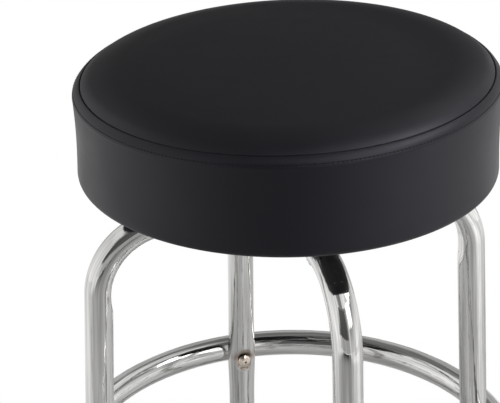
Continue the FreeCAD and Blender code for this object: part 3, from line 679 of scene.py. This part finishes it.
def rolled_edge(centre, radius, end, heading):
    """Where an arc rolls over into the seam: the slope at which the roll starts, and the points of the roll.
    The arc ends at radius end from the axis; heading is 1 if the roll faces outwards, -1 if inwards.
    At the bottom of the seam the two edges meet."""
    slope = math.asin((end - centre.x - heading * SEAM_TURN) / (radius - SEAM_TURN))
    turn_centre = centre + (radius - SEAM_TURN) * Vector((math.sin(slope), math.cos(slope)))
    roll = arc(turn_centre, SEAM_TURN, slope, heading * math.pi / 2, steps=6)
    return slope, roll[1:] + [Vector((seam_radius - heading * SEAM_CLOSED / 2, roll[-1].y - SEAM_DEPTH))]


vinyl, vinyl_tree, vinyl_shader = hazed_material(
    "black_vinyl", scale=14.0, clean=0.43, hazy=0.50, IOR=VINYL_IOR, Specular_Tint=VINYL_GLOSS)
vinyl_place = object_coordinates(vinyl_tree)
vinyl_grain = use_group(vinyl_tree, grain, vinyl_place, Scale=1100.0)
vinyl_wear = add_node(vinyl_tree, "TexNoise", {"Scale": 9.0, "Detail": 5.0})
vinyl_tree.links.new(vinyl_place, vinyl_wear.inputs["Vector"])
vinyl_colour = colour_ramp(vinyl_tree, vinyl_wear.outputs["Fac"], {0: VINYL_BLACK, 1: VINYL_WORN})
vinyl_tree.links.new(vinyl_colour, vinyl_shader.inputs["Base Color"])
add_bump(vinyl_tree, vinyl_shader, vinyl_grain.outputs["Height"], strength=0.16, distance=0.0001)

panel_end = seam_radius - SEAM_GAP / 2
panel_slope, panel_edge = rolled_edge(edge_centre, EDGE_RADIUS, panel_end, 1)
panel_outline = crown(0, crown_steps=24, shoulder_steps=16, end_slope=panel_slope) + panel_edge
panel_inside = crown(VINYL_THICKNESS, crown_steps=12, shoulder_steps=8)
panel_inside = [point for point in panel_inside if point.x < panel_end - VINYL_THICKNESS]
panel_outline += [panel_outline[-1] - Vector((VINYL_THICKNESS, 0))] + panel_inside[::-1]
top_panel = lathe("seat_top_cover", panel_outline, PANEL_STEPS)
stretch_over_foam(top_panel)
skew_seam(top_panel)
top_panel.data.materials.append(vinyl)
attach(top_panel, "seat")
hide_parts("seat_top_panel")

# Side band
# A strip of the same vinyl round the foam, with its hem folded under the board and stapled there.
# The seam allowances lie behind its upper edge, and a row of topstitching sews them down.
STITCH_COUNT = 320
STITCH_DISTANCE = 0.0086
STRIP_RAISE = 0.0005
STRIP_PAST_STITCH = 0.0034
STRIP_EDGE = 0.0004
STITCH_GROOVE = 0.0001
STITCH_GROOVE_WIDTH = 0.00045
STITCH_HOLE = 0.00012
HEM_RADIUS = 0.1462
LIP_FINE_STEP = 0.00025
LIP_COARSE_STEP = 0.0006
LIP_FINE_REACH = 0.0012
LIP_INSIDE_START = 0.1
BAND_STEPS = 2 * STITCH_COUNT

stitch_slope = lip_slope + STITCH_DISTANCE / LIP_RADIUS


def band_lip(start):
    """The rolled lip: raised over the seam allowances, with a groove where the topstitching pulls it in."""
    points = []
    past = (start - stitch_slope) * LIP_RADIUS
    while past < (math.pi / 2 - stitch_slope) * LIP_RADIUS:
        slope = stitch_slope + past / LIP_RADIUS
        raised = STRIP_RAISE / (1 + math.exp((past - STRIP_PAST_STITCH) / STRIP_EDGE))
        groove = STITCH_GROOVE * math.exp(-((past / STITCH_GROOVE_WIDTH) ** 2))
        radius = LIP_RADIUS + raised - groove
        points.append(lip_centre + radius * Vector((math.sin(slope), math.cos(slope))))
        past += LIP_FINE_STEP if abs(past) < LIP_FINE_REACH else LIP_COARSE_STEP
    return points


def prick_holes(piece):
    """Pulls the band in at the needle holes, which lie at every second step round it."""
    for vertex in piece.data.vertices:
        reach = Vector((math.hypot(vertex.co.x, vertex.co.y), vertex.co.z)) - lip_centre
        if reach.length < LIP_RADIUS - VINYL_THICKNESS / 2:
            continue
        past = (math.atan2(reach.x, reach.y) - stitch_slope) * LIP_RADIUS
        step = round(math.atan2(vertex.co.y, vertex.co.x) / (2 * math.pi) * BAND_STEPS)
        if step % 2 and abs(past) < LIP_FINE_REACH:
            pull = STITCH_HOLE * math.exp(-((past / STITCH_GROOVE_WIDTH) ** 2))
            inward = Vector((vertex.co.x, vertex.co.y, 0)).normalized() * math.sin(stitch_slope)
            vertex.co -= pull * (inward + Vector((0, 0, math.cos(stitch_slope))))


band_start = seam_radius + SEAM_GAP / 2
band_slope, band_edge = rolled_edge(lip_centre, LIP_RADIUS + STRIP_RAISE, band_start, -1)
hem_end = Vector((HEM_RADIUS, seat_bottom))
band_outline = band_edge[::-1] + band_lip(band_slope)
band_outline += flat_side(0, lip_centre.y, steps=10)
band_outline += arc(fold_centre, FOLD_RADIUS, math.pi / 2, math.pi, steps=6)
band_outline += [hem_end, hem_end + Vector((0, VINYL_THICKNESS))]
band_inside = arc(
    lip_centre, LIP_RADIUS - VINYL_THICKNESS, lip_slope + LIP_INSIDE_START, math.pi / 2, steps=6)
band_inside += flat_side(VINYL_THICKNESS, lip_centre.y, steps=6)
band_inside += arc(fold_centre, FOLD_RADIUS - VINYL_THICKNESS, math.pi / 2, math.pi, steps=4)
band_outline += band_inside[::-1] + [band_outline[0] + Vector((VINYL_THICKNESS / 2, 0)), band_outline[0]]
side_band = lathe("seat_band_cover", band_outline, BAND_STEPS)
prick_holes(side_band)
stretch_over_foam(side_band)
skew_seam(side_band)
side_band.data.materials.append(vinyl)
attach(side_band, "seat")
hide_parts("seat_side_band")

# Topstitching
# A row of black polyester thread stitches through the band and the seam allowances behind it.
# Each stitch bows out between two needle holes.
THREAD_RADIUS = 0.0004
STITCH_LENGTH = 0.0022
STITCH_SINK = 0.0002
STITCH_BOW = 0.00018
STITCH_DIP = 0.000288
STITCH_TAPER = 0.55
STITCH_BEND = STITCH_LENGTH / 5
THREAD_BLACK = (0.003, 0.003, 0.0035, 1)
stitch_out = Vector((math.sin(stitch_slope), math.cos(stitch_slope)))
stitch_radius = LIP_RADIUS + STRIP_RAISE - STITCH_SINK
stitch_place = lip_centre + stitch_radius * stitch_out
bpy.ops.object.select_all(action="DESELECT")
bpy.ops.mesh.primitive_cylinder_add(
    vertices=6, radius=THREAD_RADIUS, depth=STITCH_LENGTH,
    location=(stitch_place.x, 0, stitch_place.y), rotation=(math.pi / 2, 0, 0))
topstitch = bpy.context.object
topstitch.name = topstitch.data.name = "seat_topstitch"
bpy.ops.object.transform_apply()
bpy.ops.object.mode_set(mode="EDIT")
for cut in (-STITCH_BEND, STITCH_BEND):
    bpy.ops.mesh.select_all(action="SELECT")
    bpy.ops.mesh.bisect(plane_co=(0, cut, 0), plane_no=(0, 1, 0))
bpy.ops.object.mode_set(mode="OBJECT")
for vertex in topstitch.data.vertices:
    off = Vector((vertex.co.x - stitch_place.x, vertex.co.z - stitch_place.y))
    if abs(vertex.co.y) > STITCH_LENGTH / 4:
        off = off * STITCH_TAPER - STITCH_DIP * stitch_out
    else:
        off += STITCH_BOW * stitch_out
    vertex.co.x = stitch_place.x + off.x
    vertex.co.z = stitch_place.y + off.y
only(topstitch)
bpy.ops.object.mode_set(mode="EDIT")
bpy.ops.mesh.select_all(action="SELECT")
bpy.ops.mesh.spin(
    steps=STITCH_COUNT - 1, dupli=True, angle=2 * math.pi * (STITCH_COUNT - 1) / STITCH_COUNT,
    center=(0, 0, 0), axis=(0, 0, 1))
bpy.ops.mesh.select_all(action="SELECT")
bpy.ops.mesh.normals_make_consistent(inside=False)
bpy.ops.object.mode_set(mode="OBJECT")
bpy.ops.object.shade_smooth()
stretch_over_foam(topstitch)
skew_seam(topstitch)
thread, thread_tree, thread_shader = new_material(
    "black_thread", Base_Color=THREAD_BLACK, Roughness=0.7, Specular_IOR_Level=0.2)
thread_twist = use_group(thread_tree, grain, object_coordinates(thread_tree), Scale=2500.0)
add_bump(thread_tree, thread_shader, thread_twist.outputs["Height"], strength=0.4, distance=0.0001)
topstitch.data.materials.append(thread)
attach(topstitch, "seat")

# The foam takes the seam's skew last, once all that lies on it has followed its swell
skew_seam(foam)

# Dust cover
# A disc of thin black cloth under the board that hides it and the hem. The swivel clamps its middle and
# staples hold its edge, so it sags a little in between and puckers from staple to staple.
CLOTH_THICKNESS = 0.0006
CLOTH_SAG = 0.0014
CLOTH_PUCKER = 0.0008
CLOTH_EDGE_PULL = 0.0012
HEM_STEP = 0.005
CLOTH_STEP = 0.006
STAPLE_COUNT = 24
STAPLE_EDGE = 0.007
SAG_FROM_PLATE = 0.025
SAG_FROM_HEM = 0.03
PUCKER_START = 0.12
PUCKER_RUN = 0.037
CLOTH_DARK = (0.008, 0.008, 0.009, 1)
CLOTH_PALE = (0.020, 0.020, 0.021, 1)

cloth_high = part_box("dust_cover")[1]
plate_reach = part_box("swivel_upper_plate")[1].x
cloth_radius = cloth_high.x
staple_radius = cloth_radius - STAPLE_EDGE


def settle(vertex):
    """Lets a point of the cloth sag between swivel and hem, and pucker between the staples."""
    reach = math.hypot(vertex.co.x, vertex.co.y)
    turn = math.atan2(vertex.co.y, vertex.co.x)
    between = 0.5 + 0.5 * math.cos(STAPLE_COUNT * turn)
    beside_plate = max(abs(vertex.co.x), abs(vertex.co.y)) - plate_reach
    sag = CLOTH_SAG * ease(beside_plate / SAG_FROM_PLATE) * ease((HEM_RADIUS - reach) / SAG_FROM_HEM)
    pucker = CLOTH_PUCKER * between * ease((reach - PUCKER_START) / PUCKER_RUN)
    pull = CLOTH_EDGE_PULL * between * ease((reach - staple_radius) / STAPLE_EDGE)
    vertex.co.x *= 1 - pull / max(reach, CLOTH_STEP)
    vertex.co.y *= 1 - pull / max(reach, CLOTH_STEP)
    vertex.co.z -= sag + pucker


cloth_flat = HEM_RADIUS - HEM_STEP
cloth_steps = round(cloth_flat / CLOTH_STEP)
cloth_top = [Vector((cloth_flat * i / cloth_steps, cloth_high.z)) for i in range(cloth_steps + 1)]
cloth_top += [Vector((radius, seat_bottom)) for radius in (HEM_RADIUS, staple_radius, cloth_radius)]
cloth_outline = cloth_top + [point - Vector((0, CLOTH_THICKNESS)) for point in reversed(cloth_top)]
dust_cloth = lathe("seat_dust_cloth", cloth_outline, steps=8 * STAPLE_COUNT)
for vertex in dust_cloth.data.vertices:
    settle(vertex)
cloth, cloth_tree, cloth_shader = new_material("dust_cloth_weave", Roughness=0.95, Sheen_Weight=0.15)
cloth_place = object_coordinates(cloth_tree)
cloth_fade = add_node(cloth_tree, "TexNoise", {"Scale": 40.0, "Detail": 5.0})
cloth_warp = add_node(cloth_tree, "TexWave", {"Scale": 320.0, "Distortion": 0.6}, bands_direction="X")
cloth_weft = add_node(cloth_tree, "TexWave", {"Scale": 320.0, "Distortion": 0.6}, bands_direction="Y")
cloth_weave = add_node(cloth_tree, "Math", operation="MAXIMUM")
for texture in (cloth_fade, cloth_warp, cloth_weft):
    cloth_tree.links.new(cloth_place, texture.inputs["Vector"])
cloth_colour = colour_ramp(cloth_tree, cloth_fade.outputs["Fac"], {0: CLOTH_DARK, 1: CLOTH_PALE})
cloth_tree.links.new(cloth_colour, cloth_shader.inputs["Base Color"])
cloth_tree.links.new(cloth_warp.outputs["Fac"], cloth_weave.inputs[0])
cloth_tree.links.new(cloth_weft.outputs["Fac"], cloth_weave.inputs[1])
add_bump(cloth_tree, cloth_shader, cloth_weave.outputs["Value"], strength=0.5, distance=0.0003)
dust_cloth.data.materials.append(cloth)
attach(dust_cloth, "seat")
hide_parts("dust_cover")

# Staples
# Wire staples through the dust cover and the vinyl's hem into the board, galvanised, with their grey darkened
# as painted shade for where they sit under the seat.
STAPLE_SHADED_GREY = (0.30, 0.30, 0.31, 1)
staple_wire = hazed_material(
    "staple_wire", scale=400.0, clean=0.35, hazy=0.6, Base_Color=STAPLE_SHADED_GREY, Metallic=1.0)[0]
dress(staple_wire, "cover_staples")

# Camera
# The camera stands where the photograph was taken from, in front of the stool and above the seat,
# and is turned and rolled a little as the photograph is.
CAMERA_PLACE = (-0.4246, -1.5032, 1.2087)
CAMERA_HEADING = math.radians(14.535)
CAMERA_PITCH = math.radians(25.204)
CAMERA_ROLL = math.radians(-1.179)
CAMERA_LENS = 140.94
CAMERA_SENSOR = 36
camera = bpy.data.objects.new("camera", bpy.data.cameras.new("camera"))
bpy.context.collection.objects.link(camera)
camera.data.sensor_fit = "HORIZONTAL"
camera.data.sensor_width = CAMERA_SENSOR
camera.data.lens = CAMERA_LENS
look = Matrix.Rotation(-CAMERA_HEADING, 4, "Z") @ Matrix.Rotation(math.pi / 2 - CAMERA_PITCH, 4, "X")
camera.matrix_world = Matrix.Translation(CAMERA_PLACE) @ look @ Matrix.Rotation(CAMERA_ROLL, 4, "Z")
bpy.context.scene.camera = camera
bpy.context.scene.view_settings.view_transform = "Standard"

# Floor
# A wide sheet of white paper. Seen directly or in the chrome it is plain white away from the stool, and
# round the stool it is lit paper with the stool's shadow on it.
FLOOR_SIZE = 14.0
PAPER_WHITE = (0.75, 0.75, 0.75, 1)
SHADOW_SEEN = (0, 0), 0.28, 0.42
SHADOW_MIRRORED = (0.4, -0.4), 0.7, 1.4


def ray_share(tree, *kinds):
    """1 for rays of one of these kinds."""
    path = add_node(tree, "LightPath")
    most = path.outputs[kinds[0]]
    for kind in kinds[1:]:
        larger = add_node(tree, "Math", operation="MAXIMUM")
        tree.links.new(most, larger.inputs[0])
        tree.links.new(path.outputs[kind], larger.inputs[1])
        most = larger.outputs["Value"]
    return most


def distance_mask(tree, centre, near, far):
    """Rises smoothly from 0 at the near distance to 1 at the far one, measured from a point of the floor."""
    length = add_node(tree, "VectorMath", {1: (*centre, 0)}, operation="DISTANCE")
    tree.links.new(object_coordinates(tree), length.inputs[0])
    mask = add_node(tree, "MapRange", {"From Min": near, "From Max": far}, interpolation_type="SMOOTHSTEP")
    tree.links.new(length.outputs["Value"], mask.inputs["Value"])
    return mask.outputs["Result"]


bpy.ops.object.select_all(action="DESELECT")
bpy.ops.mesh.primitive_plane_add(size=FLOOR_SIZE)
floor = bpy.context.object
floor.name = floor.data.name = "studio_floor"
paper, paper_tree, paper_shader = new_material("white_paper", Base_Color=PAPER_WHITE, Roughness=0.9)
paper_white = add_node(paper_tree, "Emission", {"Strength": 1.0})
paper_mix = add_node(paper_tree, "MixShader")
paper_seen = add_node(paper_tree, "Math", operation="MULTIPLY")
paper_mirrored = add_node(paper_tree, "Math", operation="MULTIPLY_ADD")
paper_tree.links.new(ray_share(paper_tree, "Is Camera Ray"), paper_seen.inputs[0])
paper_tree.links.new(distance_mask(paper_tree, *SHADOW_SEEN), paper_seen.inputs[1])
paper_tree.links.new(ray_share(paper_tree, "Is Glossy Ray", "Is Transmission Ray"), paper_mirrored.inputs[0])
paper_tree.links.new(distance_mask(paper_tree, *SHADOW_MIRRORED), paper_mirrored.inputs[1])
paper_tree.links.new(paper_seen.outputs["Value"], paper_mirrored.inputs[2])
paper_tree.links.new(paper_mirrored.outputs["Value"], paper_mix.inputs["Fac"])
paper_tree.links.new(paper_shader.outputs["BSDF"], paper_mix.inputs[1])
paper_tree.links.new(paper_white.outputs["Emission"], paper_mix.inputs[2])
paper_tree.links.new(paper_mix.outputs["Shader"], paper_tree.nodes["Material Output"].inputs["Surface"])
floor.data.materials.append(paper)

# Studio
# A white room with one soft lamp to the front right. White and grey cards stand round the stool and lie
# in front of it. They show only in reflections, so that chrome and vinyl have dark stripes between their
# bright sides.
ROOM_LIGHT = 0.15
KEY_POWER = 56.0
KEY_SIZE = 1.6
KEY_PLACE = Vector((1.436, -0.897, 1.313))
LIT_POINT = Vector((0, 0, 0.45))
UPRIGHT = math.radians(90)
SLANTED = math.radians(45)

# Places of lamp and cards are right of, behind and above the stool, as the camera sees it
to_room = Matrix.Rotation(-CAMERA_HEADING, 3, "Z")

world = bpy.data.worlds.new("studio_room")
world.use_nodes = True
bpy.context.scene.world = world
room = world.node_tree
room_seen = ray_share(room, "Is Camera Ray", "Is Glossy Ray", "Is Transmission Ray")
room_level = add_node(room, "MapRange", {"To Min": ROOM_LIGHT, "To Max": 1.0})
room.links.new(room_seen, room_level.inputs["Value"])
room.nodes["Background"].inputs["Color"].default_value = (1, 1, 1, 1)
room.links.new(room_level.outputs["Result"], room.nodes["Background"].inputs["Strength"])

key_lamp = bpy.data.objects.new("key_lamp", bpy.data.lights.new("key_lamp", "AREA"))
bpy.context.collection.objects.link(key_lamp)
key_lamp.data.energy = KEY_POWER
key_lamp.data.shape = "RECTANGLE"
key_lamp.data.size = KEY_SIZE
key_lamp.data.size_y = KEY_SIZE
key_lamp.location = to_room @ KEY_PLACE
key_lamp.rotation_euler = (to_room @ (KEY_PLACE - LIT_POINT)).to_track_quat("Z", "Y").to_euler()
key_lamp.visible_camera = False
key_lamp.visible_glossy = False


def card_paint(name, levels, fade):
    """Grey that changes evenly between two levels along a card, and fades out at its sides."""
    material, tree, _ = new_material(name)
    parts = add_node(tree, "SeparateXYZ")
    tree.links.new(object_coordinates(tree), parts.inputs["Vector"])
    level = add_node(
        tree, "MapRange", {"From Min": -0.5, "From Max": 0.5, "To Min": levels[0], "To Max": levels[1]},
        interpolation_type="SMOOTHSTEP")
    tree.links.new(parts.outputs["Y"], level.inputs["Value"])
    glow = add_node(tree, "Emission")
    tree.links.new(level.outputs["Result"], glow.inputs["Strength"])
    off = add_node(tree, "Math", operation="ABSOLUTE")
    tree.links.new(parts.outputs["X"], off.inputs[0])
    faded = add_node(
        tree, "MapRange", {"From Min": 0.5 - fade, "From Max": 0.5}, interpolation_type="SMOOTHSTEP")
    tree.links.new(off.outputs["Value"], faded.inputs["Value"])
    mix = add_node(tree, "MixShader")
    tree.links.new(faded.outputs["Result"], mix.inputs["Fac"])
    tree.links.new(glow.outputs["Emission"], mix.inputs[1])
    tree.links.new(add_node(tree, "BsdfTransparent").outputs["BSDF"], mix.inputs[2])
    tree.links.new(mix.outputs["Shader"], tree.nodes["Material Output"].inputs["Surface"])
    return material


def studio_card(name, size, place, tilt, turn, levels, fade):
    """A card that only shows in reflections, tilted up from the floor and turned to face the stool."""
    bpy.ops.object.select_all(action="DESELECT")
    bpy.ops.mesh.primitive_plane_add(size=1)
    card = bpy.context.object
    card.name = card.data.name = name
    card.scale = (*size, 1)
    card.rotation_euler = (tilt, 0, turn - CAMERA_HEADING)
    card.location = to_room @ Vector(place)
    card.visible_camera = False
    card.visible_diffuse = False
    card.visible_transmission = False
    card.visible_shadow = False
    card.data.materials.append(card_paint(name + "_paint", levels, fade))


studio_card("front_card", (3.4, 2.2), (-0.8, -2.6, 1.85), UPRIGHT, 0, levels=(0.10, 0.14), fade=0.12)
studio_card("ceiling_card", (2.8, 5.6), (-0.5, 0.2, 2.8), 0, 0, levels=(0.30, 0.20), fade=0.15)
studio_card("back_card", (4.6, 2.7), (-0.2, 3.0, 1.45), UPRIGHT, 0, levels=(0.12, 0.21), fade=0.2)
studio_card("low_back_card", (1.6, 0.34), (0, 0.6, 0.45), UPRIGHT, 0, levels=(0.6, 0.5), fade=0.1)
studio_card("floor_card", (2.4, 2.1), (-0.2, -1.4, 0.002), 0, 0, levels=(0.02, 0.55), fade=0.3)
studio_card("low_front_card", (3.4, 0.75), (-0.6, -2.68, 0.38), UPRIGHT, 0, levels=(0.5, 0.5), fade=0.15)
studio_card("left_card", (3.6, 2.4), (-2.6, -0.2, 1.2), UPRIGHT, UPRIGHT, levels=(1.2, 0.85), fade=0.15)
studio_card("right_card", (5.4, 2.9), (2.7, 0.7, 1.3), UPRIGHT, UPRIGHT, levels=(1.3, 0.35), fade=0.12)
studio_card("corner_card", (2.0, 2.4), (1.9, -2.2, 1.2), UPRIGHT, SLANTED, levels=(0.8, 0.3), fade=0.15)
studio_card("key_card", (0.85, 1.15), (1.143, -1.143, 1.54), UPRIGHT, SLANTED, levels=(2.0, 6.0), fade=0.1)
studio_card(
    "high_card", (1.0, 0.8), (1.436, -0.253, 2.06), SLANTED, math.radians(80), levels=(7.0, 7.0), fade=0.2)
studio_card(
    "front_high_card", (1.2, 0.7), (0.335, -1.249, 2.205), math.radians(38), math.radians(15),
    levels=(1.2, 1.2), fade=0.2)
